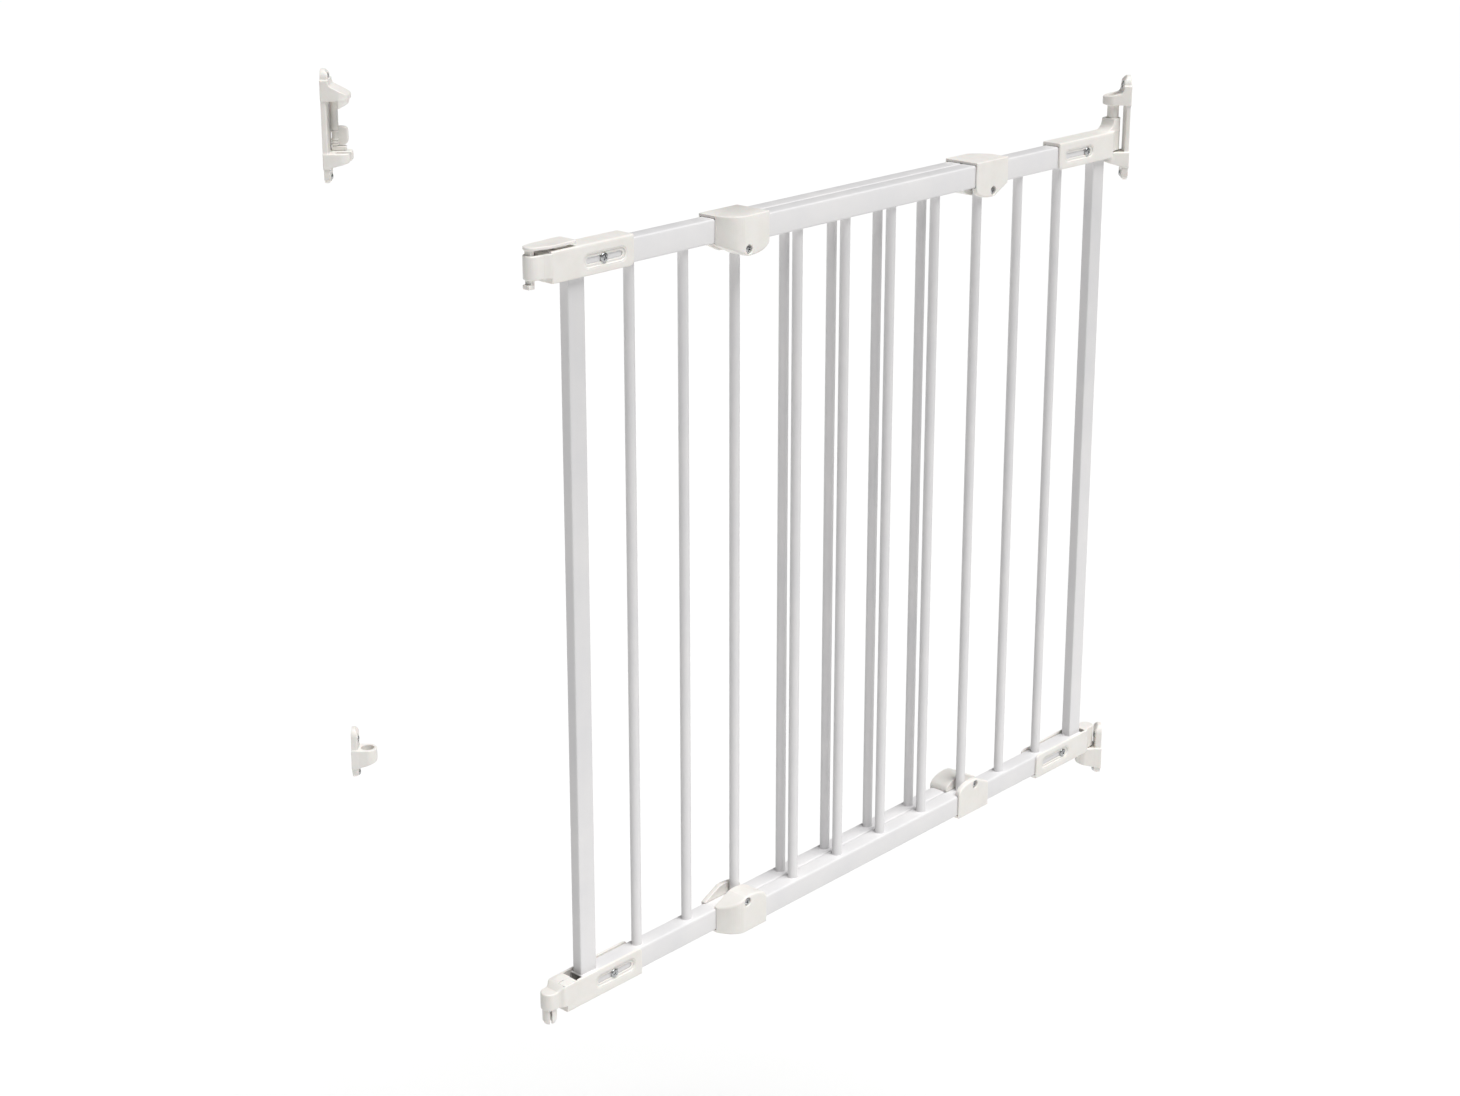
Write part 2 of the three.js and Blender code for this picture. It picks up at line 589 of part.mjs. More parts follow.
const WALL_SCREWS = [
  [hingeWall, "upper_hinge", UPPER_HINGE.screws],
  [hingeWall, "lower_hinge", LOWER_SCREWS],
  [latchWall, "upper_catch", UPPER_CATCH.screws],
  [latchWall, "lower_latch", LOWER_SCREWS],
];
for (const [wall, bracket, heights] of WALL_SCREWS) {
  heights.forEach((z, i) => wall.add(piece(`${bracket}_wall_screw_${i + 1}`, wallScrew(z, TAIL_THICK), ZINC)));
}

// The gate's own axes: x towards the hinge, y away from the slotted faces, origin on the hinge axis.
const skew = Math.asin(RAIL.centres / AXIS_SPAN); // the latch pin stands on the rear frame's rails
const latchAxisX = -AXIS_SPAN * Math.cos(skew);
const gate = new THREE.Group();
gate.position.set(-WALL_TO_AXIS, 0, RAIL_BASE);
gate.rotation.z = THREE.MathUtils.degToRad(OPEN_DEG) + skew;

gate.add(piece("upper_hinge_pin", hingePin(HINGE_PIN.upperFoot, HINGE_PIN.top), PLASTIC_WHITE));
gate.add(piece("lower_hinge_pin", hingePin(HINGE_PIN.tip, HINGE_PIN.lowerTop), PLASTIC_WHITE));

const hingeCorners = new THREE.Group();
hingeCorners.rotation.z = Math.PI;
hingeCorners.add(piece("upper_hinge_corner", upperHingeCorner(), PLASTIC_WHITE));
hingeCorners.add(atBottom(piece("lower_hinge_corner", lowerHingeCorner(), PLASTIC_WHITE)));
gate.add(hingeCorners);

const hingeFrame = frame("hinge_frame", 1);
hingeFrame.rotation.z = Math.PI;
hingeFrame.position.x = -HINGE_STILE;
gate.add(hingeFrame);

const latchFrame = frame("latch_frame", -1);
latchFrame.position.set(latchAxisX + LATCH_STILE, RAIL.centres, 0);
gate.add(latchFrame);

const latchCorners = new THREE.Group();
latchCorners.scale.y = -1;
latchCorners.position.set(latchAxisX, RAIL.centres, 0);
latchCorners.add(piece("upper_latch_corner", upperLatchCorner(), PLASTIC_WHITE));
latchCorners.add(atBottom(piece("lower_latch_corner", lowerLatchCorner(), PLASTIC_WHITE)));
latchCorners.add(atBottom(piece("latch_pin_key", latchKey(), PLASTIC_WHITE)));
latchCorners.add(piece("lower_latch_pin", latchPin(), PLASTIC_WHITE));
latchCorners.add(piece("thumb_latch", thumbLatch(), PLASTIC_WHITE));
latchCorners.add(piece("latch_spring", latchSpring(), ZINC));
gate.add(latchCorners);

const babyGate = new THREE.Group();
babyGate.add(hingeWall, latchWall, gate);

export default babyGate;
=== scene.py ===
"""Looks of the safety baby gate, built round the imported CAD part.

Each moulded piece is a distance function in millimetres, in its own axes, turned into a mesh and put in place
by a frame taken from the CAD nodes. Tubes are swept sections. The row frame is in metres.
"""

import itertools
import json
import math

import bmesh
import bpy
import numpy as np
from mathutils import Matrix, Vector


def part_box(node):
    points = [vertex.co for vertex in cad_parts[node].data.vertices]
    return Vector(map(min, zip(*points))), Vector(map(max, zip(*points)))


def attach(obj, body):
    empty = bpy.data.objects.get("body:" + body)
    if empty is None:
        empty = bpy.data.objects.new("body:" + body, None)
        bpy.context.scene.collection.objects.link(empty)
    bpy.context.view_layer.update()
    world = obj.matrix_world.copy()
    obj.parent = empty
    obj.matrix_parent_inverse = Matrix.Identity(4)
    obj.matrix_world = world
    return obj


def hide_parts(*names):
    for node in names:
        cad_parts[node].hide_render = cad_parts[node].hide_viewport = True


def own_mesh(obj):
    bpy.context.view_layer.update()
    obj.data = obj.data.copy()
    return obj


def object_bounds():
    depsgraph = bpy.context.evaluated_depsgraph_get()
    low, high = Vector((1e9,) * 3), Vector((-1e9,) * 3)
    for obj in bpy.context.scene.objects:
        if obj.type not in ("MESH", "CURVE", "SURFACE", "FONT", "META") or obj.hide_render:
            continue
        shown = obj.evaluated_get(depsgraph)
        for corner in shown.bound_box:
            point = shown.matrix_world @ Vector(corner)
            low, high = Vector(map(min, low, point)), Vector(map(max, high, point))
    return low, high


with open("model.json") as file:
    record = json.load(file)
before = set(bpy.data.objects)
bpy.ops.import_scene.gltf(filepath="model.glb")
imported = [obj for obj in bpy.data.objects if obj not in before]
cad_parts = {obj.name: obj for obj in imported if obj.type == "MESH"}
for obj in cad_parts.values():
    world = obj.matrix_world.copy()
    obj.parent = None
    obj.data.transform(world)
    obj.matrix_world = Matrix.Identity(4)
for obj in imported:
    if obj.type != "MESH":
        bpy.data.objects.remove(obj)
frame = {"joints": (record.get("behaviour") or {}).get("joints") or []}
cad_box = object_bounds()

MM = 0.001

# ---------------------------------------------------------------- sizes, in millimetres, as in the CAD
PANEL_H = 720
RAIL_H, RAIL_W, RAIL_WALL = 23, 18, 1.2
RAIL_START, RAIL_END = -10.6, 571.5
REAR = -18.6  # centre of the other frame's rail
BAR_R = 5
BAR_WALL = 0.7
STILE_ALONG, STILE_ACROSS, STILE_WALL = 20, 11.5, 1.2
OWN_FACE = RAIL_W / 2
GAP = 0.3  # between a rail and the moulding round it
CLEAR = OWN_FACE + GAP
CHANNEL_LOW, CHANNEL_HIGH = PANEL_H - RAIL_H - GAP, PANEL_H + GAP
PIN_R = 6.25
BORE_R = PIN_R + GAP
CORNER_END, CORNER_SIDE = 112, 12
CHANNEL_START = 15.7
NOSE_R = 8.2
SCREW_Z = 708.5
DISH_DEPTH = 1.8
SLEEVE_WALL = 2.5
SLEEVE_START, SLEEVE_END, SLEEVE_TOP = 535.6, 588.6, 723.5
LOBE_AT, LOBE_SCREW_Z = 563.9, 691
OWN_SIDE = OWN_FACE + SLEEVE_WALL
PASSING_SIDE = REAR - OWN_FACE - SLEEVE_WALL
WALL_TO_AXIS = 18
ARM_R = 11.5
PLATE_DEPTH, SEAT_DEPTH = 7.5, 1.4  # a bracket's plate, and how deep its screw heads sit in it
CATCH_REAR = 21
HINGE_SCREWS, CATCH_SCREWS, CUP_SCREWS = (675.5, 773), (674, 783), (-31, 11)  # heights
STOP_AT = (10.6, 14.2)  # the swing stop's spindle, from the latch-side wall

COARSE = 0.6
FINE = 0.35
SCREW_CELL = 0.16


# ---------------------------------------------------------------- outlines
def arc(cx, cy, r, start, end, steps=10):
    """Points of an arc, angles in degrees."""
    angles = [math.radians(start + (end - start) * i / steps) for i in range(steps + 1)]
    return [(cx + r * math.cos(a), cy + r * math.sin(a)) for a in angles]


def bezier(a, b, c, d, steps=14):
    """Points of a cubic curve after its first point."""
    made = []
    for i in range(1, steps + 1):
        t = i / steps
        weights = ((1 - t) ** 3, 3 * t * (1 - t) ** 2, 3 * t * t * (1 - t), t**3)
        made.append(tuple(sum(w * p[k] for w, p in zip(weights, (a, b, c, d))) for k in (0, 1)))
    return made


def filleted(points, radii):
    """The polygon with each corner rounded by its radius."""
    made = []
    for i, (corner, r) in enumerate(zip(points, radii)):
        here = Vector(corner)
        back = (Vector(points[i - 1]) - here)
        ahead = (Vector(points[(i + 1) % len(points)]) - here)
        if r == 0:
            made.append(tuple(here))
            continue
        half = back.angle(ahead) / 2
        reach = min(r / math.tan(half), back.length * 0.49, ahead.length * 0.49)
        start, end = here + back.normalized() * reach, here + ahead.normalized() * reach
        for t in (0, 0.2, 0.4, 0.6, 0.8, 1):
            made.append(tuple(start * (1 - t) ** 2 + here * 2 * t * (1 - t) + end * t * t))
    return made


# ---------------------------------------------------------------- distance functions
def polygon_distance(points, u, v):
    """Signed distance to a polygon in the plane: negative inside."""
    nearest, sign = np.float32(1e12), np.float32(1)
    for (x0, y0), (x1, y1) in zip(points, [points[-1], *points[:-1]]):
        ex, ey = x1 - x0, y1 - y0
        length2 = ex * ex + ey * ey
        if length2 < 1e-12:
            continue
        wx, wy = u - x0, v - y0
        t = np.clip((wx * ex + wy * ey) / length2, 0, 1)
        nearest = np.minimum(nearest, (wx - ex * t) ** 2 + (wy - ey * t) ** 2)
        above, below, left = v >= y0, v < y1, ex * wy > ey * wx
        flip = (above & below & left) | (~above & ~below & ~left)
        sign = np.where(flip, -sign, sign)
    return sign * np.sqrt(nearest)


PLANES = {"x": (1, 2, 0), "y": (0, 2, 1), "z": (0, 1, 2)}


def swept(flat, along, low, high, r):
    """A flat distance function extruded along an axis, with its end edges rounded by r."""
    a, b, c = PLANES[along]
    middle, half = (low + high) / 2, (high - low) / 2

    def distance(*p):
        side, end = flat(p[a], p[b]) + r, np.abs(p[c] - middle) - half + r
        outside = np.sqrt(np.maximum(side, 0) ** 2 + np.maximum(end, 0) ** 2)
        return outside + np.minimum(np.maximum(side, end), 0) - r

    return distance


def prism(points, along, low, high, r=0.0):
    return swept(lambda u, v: polygon_distance(points, u, v), along, low, high, r)


def rod(cu, cv, radius, along, low, high, r=0.0):
    return swept(lambda u, v: np.hypot(u - cu, v - cv) - radius, along, low, high, r)


def turned(profile, cu, cv, along):
    """A closed profile of (radius, height) points turned about an axis."""
    a, b, c = PLANES[along]
    return lambda *p: polygon_distance(profile, np.hypot(p[a] - cu, p[b] - cv), p[c])


def block(x0, x1, y0, y1, z0, z1, r=0.0):
    middle = ((x0 + x1) / 2, (y0 + y1) / 2, (z0 + z1) / 2)
    half = ((x1 - x0) / 2 - r, (y1 - y0) / 2 - r, (z1 - z0) / 2 - r)

    def distance(*p):
        q = [np.abs(p[i] - middle[i]) - half[i] for i in range(3)]
        outside = np.sqrt(sum(np.maximum(part, 0) ** 2 for part in q))
        return outside + np.minimum(np.maximum(np.maximum(q[0], q[1]), q[2]), 0) - r

    return distance


def ball(x, y, z, r):
    return lambda *p: np.sqrt((p[0] - x) ** 2 + (p[1] - y) ** 2 + (p[2] - z) ** 2) - r


def blended(a, b, k):
    """The lower of two distances, with a fillet about k wide where they cross."""
    if k == 0:
        return np.minimum(a, b)
    mix = np.maximum(k - np.abs(a - b), 0) / k
    return np.minimum(a, b) - mix * mix * k / 4


def join(k, *shapes):
    def distance(*p):
        made = shapes[0](*p)
        for shape in shapes[1:]:
            made = blended(made, shape(*p), k)
        return made

    return distance


def meet(k, *shapes):
    def distance(*p):
        made = -shapes[0](*p)
        for shape in shapes[1:]:
            made = blended(made, -shape(*p), k)
        return -made

    return distance


def cut(k, body, *tools):
    def distance(*p):
        made = -body(*p)
        for tool in tools:
            made = blended(made, tool(*p), k)
        return -made

    return distance


# ---------------------------------------------------------------- meshes from distance functions
CORNERS = list(itertools.product((0, 1), repeat=3))
EDGES = [
    (a, b)
    for a, b in itertools.product(CORNERS, repeat=2)
    if sum(b) == sum(a) + 1 and all(q >= p for p, q in zip(a, b))
]


def gradient(shape, points, step=0.02):
    made = np.empty_like(points)
    for i in range(3):
        ahead, behind = points.copy(), points.copy()
        ahead[:, i] += step
        behind[:, i] -= step
        made[:, i] = (shape(*ahead.T) - shape(*behind.T)) / (2 * step)
    return made


def surface_net(shape, low, high, cell):
    """Vertices on the shape's surface and the quads between them."""
    low = np.array(low, float) - 1.5 * cell
    counts = np.ceil((np.array(high) + 1.5 * cell - low) / cell).astype(int) + 1
    axes = [low[i] + cell * np.arange(counts[i]) for i in range(3)]
    grid = shape(axes[0][:, None, None], axes[1][None, :, None], axes[2][None, None, :])
    grid = np.broadcast_to(grid, counts)
    inside = grid < 0
    filled = sum(
        inside[i : counts[0] - 1 + i, j : counts[1] - 1 + j, k : counts[2] - 1 + k].astype(np.int8)
        for i, j, k in CORNERS
    )
    cells = np.argwhere((filled > 0) & (filled < 8))
    index = np.full(counts - 1, -1)
    index[tuple(cells.T)] = np.arange(len(cells))
    points, hits = np.zeros((len(cells), 3)), np.zeros(len(cells))
    for a, b in EDGES:
        da, db = grid[tuple((cells + a).T)], grid[tuple((cells + b).T)]
        crossed = (da < 0) != (db < 0)
        t = np.where(crossed, da / np.where(crossed, da - db, 1), 0)
        points += crossed[:, None] * (np.array(a) + t[:, None] * (np.array(b) - np.array(a)))
        hits += crossed
    points = low + cell * (cells + points / hits[:, None])
    for _ in range(3):
        slope = gradient(shape, points)
        steepness = np.maximum((slope**2).sum(1), 0.05)
        step = (shape(*points.T) / steepness)[:, None] * slope
        points -= np.clip(step, -cell, cell)
    quads = []
    for a in range(3):
        b, c = (a + 1) % 3, (a + 2) % 3
        first = [slice(None)] * 3
        second = [slice(None)] * 3
        first[a], second[a] = slice(None, -1), slice(1, None)
        lower, upper = inside[tuple(first)], inside[tuple(second)]
        nodes = np.argwhere(lower != upper)
        nodes = nodes[(nodes[:, b] > 0) & (nodes[:, c] > 0)]
        offsets = np.zeros((4, 3), int)
        offsets[[0, 3], b] = -1
        offsets[[0, 1], c] = -1
        ring = np.stack([index[tuple((nodes + o).T)] for o in offsets], 1)
        outward = lower[tuple(nodes.T)]
        quads.append(np.where(outward[:, None], ring, ring[:, ::-1]))
    return points, np.concatenate(quads)


def flattened(points, quads):
    """The same surface with its flat areas joined into large faces."""
    mesh = bpy.data.meshes.new("net")
    mesh.from_pydata(points.tolist(), [], quads.tolist())
    bm = bmesh.new()
    bm.from_mesh(mesh)
    bpy.data.meshes.remove(mesh)
    bmesh.ops.dissolve_limit(bm, angle_limit=math.radians(0.6), verts=bm.verts, edges=bm.edges)
    made = np.array([v.co for v in bm.verts])
    faces = [[v.index for v in f.verts] for f in bm.faces]
    bm.free()
    return made, faces


# ---------------------------------------------------------------- frames taken from the CAD
def joint(name):
    return next(j for j in frame["joints"] if j["name"] == name)


def centre(node):
    low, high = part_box(node)
    return (low + high) / 2


PANEL_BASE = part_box("hinge_frame_lower_rail")[0].z
OUT = Vector(joint("width_adjust")["axis"])
FRONT = Vector((-OUT.y, OUT.x, 0))  # the side of the gate with the slots
UP = Vector((0, 0, 1))


def axes_at(point, x, y, flipped=False):
    """A matrix from a piece's own millimetres to the row frame.

    Heights run up from the panel's base or, flipped, down from its top.
    """
    made = Matrix.Identity(4)
    for i, direction in enumerate((x, y, -UP if flipped else UP)):
        for k in range(3):
            made[k][i] = direction[k] * MM
    made.translation = Vector((point.x, point.y, PANEL_BASE + (PANEL_H * MM if flipped else 0)))
    return made


HINGE_AXIS = Vector(joint("gate_swing")["pos_m"])
LATCH_AXIS = centre("lower_latch_pin")
STILES = {f: centre(f + "_stile") for f in ("hinge_frame", "latch_frame")}
FRAME_AXES = {"hinge_frame": (OUT, FRONT), "latch_frame": (-OUT, -FRONT)}
HINGE_WALL = Vector((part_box("lower_hinge_bracket")[1].x, 0, 0))
LATCH_WALL = Vector((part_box("lower_latch_bracket")[0].x, 0, 0))
ALONG_X, ALONG_Y = Vector((1, 0, 0)), Vector((0, 1, 0))


def hinge_corner_axes(flipped=False):
    return axes_at(HINGE_AXIS, OUT, FRONT, flipped)


def latch_corner_axes(flipped=False):
    return axes_at(LATCH_AXIS, -OUT, FRONT, flipped)


def frame_axes(name, flipped=False):
    return axes_at(STILES[name], *FRAME_AXES[name], flipped)


HINGE_WALL_AXES = axes_at(HINGE_WALL, -ALONG_X, ALONG_Y)
LATCH_WALL_AXES = axes_at(LATCH_WALL, ALONG_X, ALONG_Y)


# ---------------------------------------------------------------- putting a piece in the scene
def add_piece(name, points, faces, normals, matrix, body, slot, material, *nodes):
    """A mesh in its own millimetres becomes a piece in the row frame that stands for the CAD nodes."""
    turn = np.array(matrix)[:3, :3]
    placed = points @ turn.T + np.array(matrix.translation)
    if np.linalg.det(turn) < 0:
        faces = [list(f)[::-1] for f in faces]
    mesh = bpy.data.meshes.new(name)
    mesh.from_pydata(placed.tolist(), [], [list(f) for f in faces])
    mesh.materials.append(material)
    mesh.shade_smooth()
    if normals is not None:
        mesh.normals_split_custom_set_from_vertices((normals @ turn.T / MM).tolist())
    piece = bpy.data.objects.new(name, mesh)
    bpy.context.scene.collection.objects.link(piece)
    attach(piece, body)
    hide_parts(*nodes)
    return piece


def short(node):
    """A piece's name, made from its node's."""
    return node.replace("frame_", "")


NETS = {}


def mould(name, shape, low, high, cell, matrix, body, slot, material, *nodes, key=None):
    """Adds the piece that a distance function describes. Pieces with the same key share one net."""
    key = key or name
    if key not in NETS:
        points, faces = flattened(*surface_net(shape, low, high, cell))
        normals = gradient(shape, points)
        normals /= np.linalg.norm(normals, axis=1, keepdims=True)
        NETS[key] = (points, faces, normals)
    return add_piece(name, *NETS[key], matrix, body, slot, material, *nodes)


# ---------------------------------------------------------------- materials
def shader(name, colour, roughness, metallic=0.0, **sockets):
    """A Principled material and its node tree."""
    material = bpy.data.materials.new(name)
    material.use_nodes = True
    tree = material.node_tree
    principled = tree.nodes["Principled BSDF"]
    principled.inputs["Metallic"].default_value = metallic
    for socket, value in sockets.items():
        principled.inputs[socket.replace("_", " ")].default_value = value
    principled.inputs["Base Color"].default_value = (*colour, 1)
    principled.inputs["Roughness"].default_value = roughness
    return material, tree, principled


def noise(tree, scale, detail=3.0, roughness=0.5):
    """Noise in the object's own metres: scale is in features per metre."""
    place = tree.nodes.new("ShaderNodeTexCoord")
    made = tree.nodes.new("ShaderNodeTexNoise")
    made.inputs["Scale"].default_value = scale
    made.inputs["Detail"].default_value = detail
    made.inputs["Roughness"].default_value = roughness
    tree.links.new(place.outputs["Object"], made.inputs["Vector"])
    return made.outputs["Fac"]


def ramp(tree, source, stops):
    """A colour ramp from (position, colour) stops."""
    made = tree.nodes.new("ShaderNodeValToRGB")
    elements = made.color_ramp.elements
    for element, (position, colour) in zip([elements[0], elements[1]], (stops[0], stops[-1])):
        element.position = position
        element.color = (*colour, 1)
    for position, colour in stops[1:-1]:
        elements.new(position).color = (*colour, 1)
    tree.links.new(source, made.inputs["Fac"])
    return made.outputs["Color"]


def spread(tree, source, low, high):
    """The source's middle range stretched from low to high."""
    made = tree.nodes.new("ShaderNodeMapRange")
    made.inputs["From Min"].default_value = 0.3
    made.inputs["From Max"].default_value = 0.7
    made.inputs["To Min"].default_value = low
    made.inputs["To Max"].default_value = high
    tree.links.new(source, made.inputs["Value"])
    return made.outputs["Result"]


def bump(tree, principled, layers):
    """Bump from (source, depth in metres) layers, one on another."""
    normal = None
    for source, depth in layers:
        made = tree.nodes.new("ShaderNodeBump")
        made.inputs["Distance"].default_value = depth
        made.inputs["Strength"].default_value = 1
        tree.links.new(source, made.inputs["Height"])
        if normal is not None:
            tree.links.new(normal, made.inputs["Normal"])
        normal = made.outputs["Normal"]
    tree.links.new(normal, principled.inputs["Normal"])


def painted_shade_and_highlight(tree, colour, crevice_shade, edge_highlight):
    """The colour darkened in the crevices as a painted shade and lightened along the edges as a painted
    highlight, both read from the mesh's pointiness.
    """
    geometry = tree.nodes.new("ShaderNodeNewGeometry")
    made = tree.nodes.new("ShaderNodeMapRange")
    made.inputs["From Min"].default_value = 0.42
    made.inputs["From Max"].default_value = 0.58
    # Crevices take the low factor, a painted shade; sharp edges take the high factor, a painted highlight.
    made.inputs["To Min"].default_value = crevice_shade
    made.inputs["To Max"].default_value = edge_highlight
    tree.links.new(geometry.outputs["Pointiness"], made.inputs["Value"])
    mixed = tree.nodes.new("ShaderNodeVectorMath")
    mixed.operation = "SCALE"
    tree.links.new(colour, mixed.inputs[0])
    tree.links.new(made.outputs["Result"], mixed.inputs["Scale"])
    return mixed.outputs["Vector"]


def powder_coat():
    """White polyester powder coat on steel: a fine orange peel under a satin film."""
    dull, white, bright = (0.742, 0.735, 0.742), (0.765, 0.755, 0.757), (0.787, 0.774, 0.772)
    material, tree, principled = shader(
        "powder_coat", white, 0.36, Coat_Weight=0.1, Coat_Roughness=0.22, Specular_IOR_Level=0.35
    )
    colour = ramp(tree, noise(tree, 22, 4), [(0.3, dull), (0.5, white), (0.7, bright)])
    # Painted shade in the crevices (x0.93) and a painted highlight along the edges (x1.03).
    tree.links.new(painted_shade_and_highlight(tree, colour, 0.93, 1.03), principled.inputs["Base Color"])
    tree.links.new(spread(tree, noise(tree, 90, 2), 0.31, 0.42), principled.inputs["Roughness"])
    peel, grain = noise(tree, 900, 2), noise(tree, 4200, 2)
    bump(tree, principled, [(peel, 0.000045), (grain, 0.00001)])
    return material


def moulded_plastic():
    """White moulded nylon: slightly warm and milky, with a spark-eroded skin and faint flow clouds."""
    dull, white, bright = (0.82, 0.792, 0.75), (0.85, 0.825, 0.785), (0.87, 0.848, 0.812)
    material, tree, principled = shader(
        "moulded_plastic", white, 0.46, Subsurface_Weight=0.06, Subsurface_Scale=0.002, IOR=1.49
    )
    colour = ramp(tree, noise(tree, 45, 5, 0.6), [(0.3, dull), (0.5, white), (0.7, bright)])
    # Painted shade in the crevices (x0.9) and a painted highlight along the edges (x1.04).
    tree.links.new(painted_shade_and_highlight(tree, colour, 0.9, 1.04), principled.inputs["Base Color"])
    tree.links.new(spread(tree, noise(tree, 260, 3), 0.4, 0.54), principled.inputs["Roughness"])
    skin, ripple = noise(tree, 3200, 3, 0.7), noise(tree, 240, 2)
    bump(tree, principled, [(ripple, 0.00006), (skin, 0.00002)])
    return material


def zinc_plate():
    """Bright zinc plate on steel: bluish metal with fine turning marks and duller patches."""
    dull, grey, bright = (0.42, 0.43, 0.45), (0.6, 0.61, 0.62), (0.72, 0.72, 0.7)
    material, tree, principled = shader("zinc_plate", grey, 0.3, 1.0)
    colour = ramp(tree, noise(tree, 520, 4, 0.6), [(0.3, dull), (0.5, grey), (0.7, bright)])
    # Strong painted shade in the recesses, such as the screws' drive recess (x0.35), and a painted highlight
    # along the edges (x1.15).
    tree.links.new(painted_shade_and_highlight(tree, colour, 0.35, 1.15), principled.inputs["Base Color"])
    tree.links.new(spread(tree, noise(tree, 1400, 3), 0.22, 0.42), principled.inputs["Roughness"])
    bump(tree, principled, [(noise(tree, 5200, 3), 0.00002)])
    return material


STEEL, PLASTIC, ZINC = powder_coat(), moulded_plastic(), zinc_plate()
STEEL_LOOK = ("powder_coated_steel", STEEL)
PLASTIC_LOOK = ("white_moulding", PLASTIC)
ZINC_LOOK = ("zinc_plate", ZINC)


# ---------------------------------------------------------------- steel tubes
def section_loop(half_u, half_v, r, steps=6):
    """A rounded rectangle, anticlockwise."""
    made = []
    for su, sv, start in ((1, -1, -90), (1, 1, 0), (-1, 1, 90), (-1, -1, 180)):
        made += arc(su * (half_u - r), sv * (half_v - r), r, start, start + 90, steps)
    return made


def ring_loop(r, steps=32):
    return arc(0, 0, r, 0, 360, steps)[:-1]


def tube(outer, inner, low, high, flare=0.0):
    """A hollow tube along z: its outer ends are rounded off, or flared by a weld bead."""
    lip = 0.35
    levels = [(low, -lip if flare == 0 else flare), (low + max(lip, 2 * flare), 0)]
    if flare:
        levels.insert(1, (low + flare * 0.7, flare * 0.45))
    levels += [(low + high - z, grow) for z, grow in reversed(levels)]
    loops = [[(u, v, low) for u, v in inner]]
    for z, grow in levels:
        loops.append([(*grown(outer, i, grow), z) for i in range(len(outer))])
    loops.append([(u, v, high) for u, v in inner])
    loops.append([(u, v, (low + high) / 2) for u, v in inner])
    count = len(outer)
    faces = []
    for k in range(len(loops)):
        a, b = k * count, (k + 1) % len(loops) * count
        for i in range(count):
            j = (i + 1) % count
            faces.append((a + i, a + j, b + j, b + i))
    return np.array([p for loop in loops for p in loop], float), faces


def grown(loop, i, amount):
    """Point i of a loop, moved out along its own normal."""
    (x0, y0), (x, y), (x1, y1) = loop[i - 1], loop[i], loop[(i + 1) % len(loop)]
    normal = Vector((y1 - y0, x0 - x1)).normalized()
    return x + normal.x * amount, y + normal.y * amount


def crisp(piece, degrees=35):
    """Smooth shading with hard edges kept where faces meet at more than the angle."""
    piece.data.set_sharp_from_angle(angle=math.radians(degrees))
    return piece


RAIL_SECTION = section_loop(RAIL_W / 2, RAIL_H / 2, 2.0)
RAIL_HOLLOW = section_loop(RAIL_W / 2 - RAIL_WALL, RAIL_H / 2 - RAIL_WALL, 0.9)
STILE_SECTION = section_loop(STILE_ALONG / 2, STILE_ACROSS / 2, 1.4)
STILE_HOLLOW = section_loop(STILE_ALONG / 2 - STILE_WALL, STILE_ACROSS / 2 - STILE_WALL, 0.5)
WELD = 0.5  # the flare of a weld bead
TUCK = 0.1  # how far a bar's ends stand in the rails


def steel_frame(name):
    """The two rails, the stile and the seven bars of a frame."""
    matrix = frame_axes(name)

    def add_tube(node, points, faces):
        crisp(add_piece(short(node), points, faces, None, matrix, name, *STEEL_LOOK, node))

    points, faces = tube(RAIL_SECTION, RAIL_HOLLOW, RAIL_START, RAIL_END)
    for level, z in (("upper", PANEL_H - RAIL_H / 2), ("lower", RAIL_H / 2)):
        lying = np.stack([points[:, 2], points[:, 0], points[:, 1] + z], 1)
        add_tube(f"{name}_{level}_rail", lying, faces)
    low, high = RAIL_H - TUCK, PANEL_H - RAIL_H + TUCK
    add_tube(name + "_stile", *tube(STILE_SECTION, STILE_HOLLOW, low, high, WELD))
    points, faces = tube(ring_loop(BAR_R), ring_loop(BAR_R - BAR_WALL), low, high, WELD)
    for k in range(1, 8):
        node = f"{name}_bar_{k}"
        x = (centre(node) - STILES[name]).dot(FRAME_AXES[name][0]) / MM
        add_tube(node, points + [x, 0, 0], faces)


for frame_name in ("hinge_frame", "latch_frame"):
    steel_frame(frame_name)


# ---------------------------------------------------------------- moulded corners
def stadium(u0, u1, v, r):
    return arc(u1 - r, v, r, -90, 90) + arc(u0 + r, v, r, 90, 270)


def nose_plan(reach, r=NOSE_R):
    """A round nose about the pin's axis that runs back to reach."""
    return [(reach, -r), (reach, r), (0, r), *arc(0, 0, r, 90, 270, 24)[1:-1], (0, -r)]


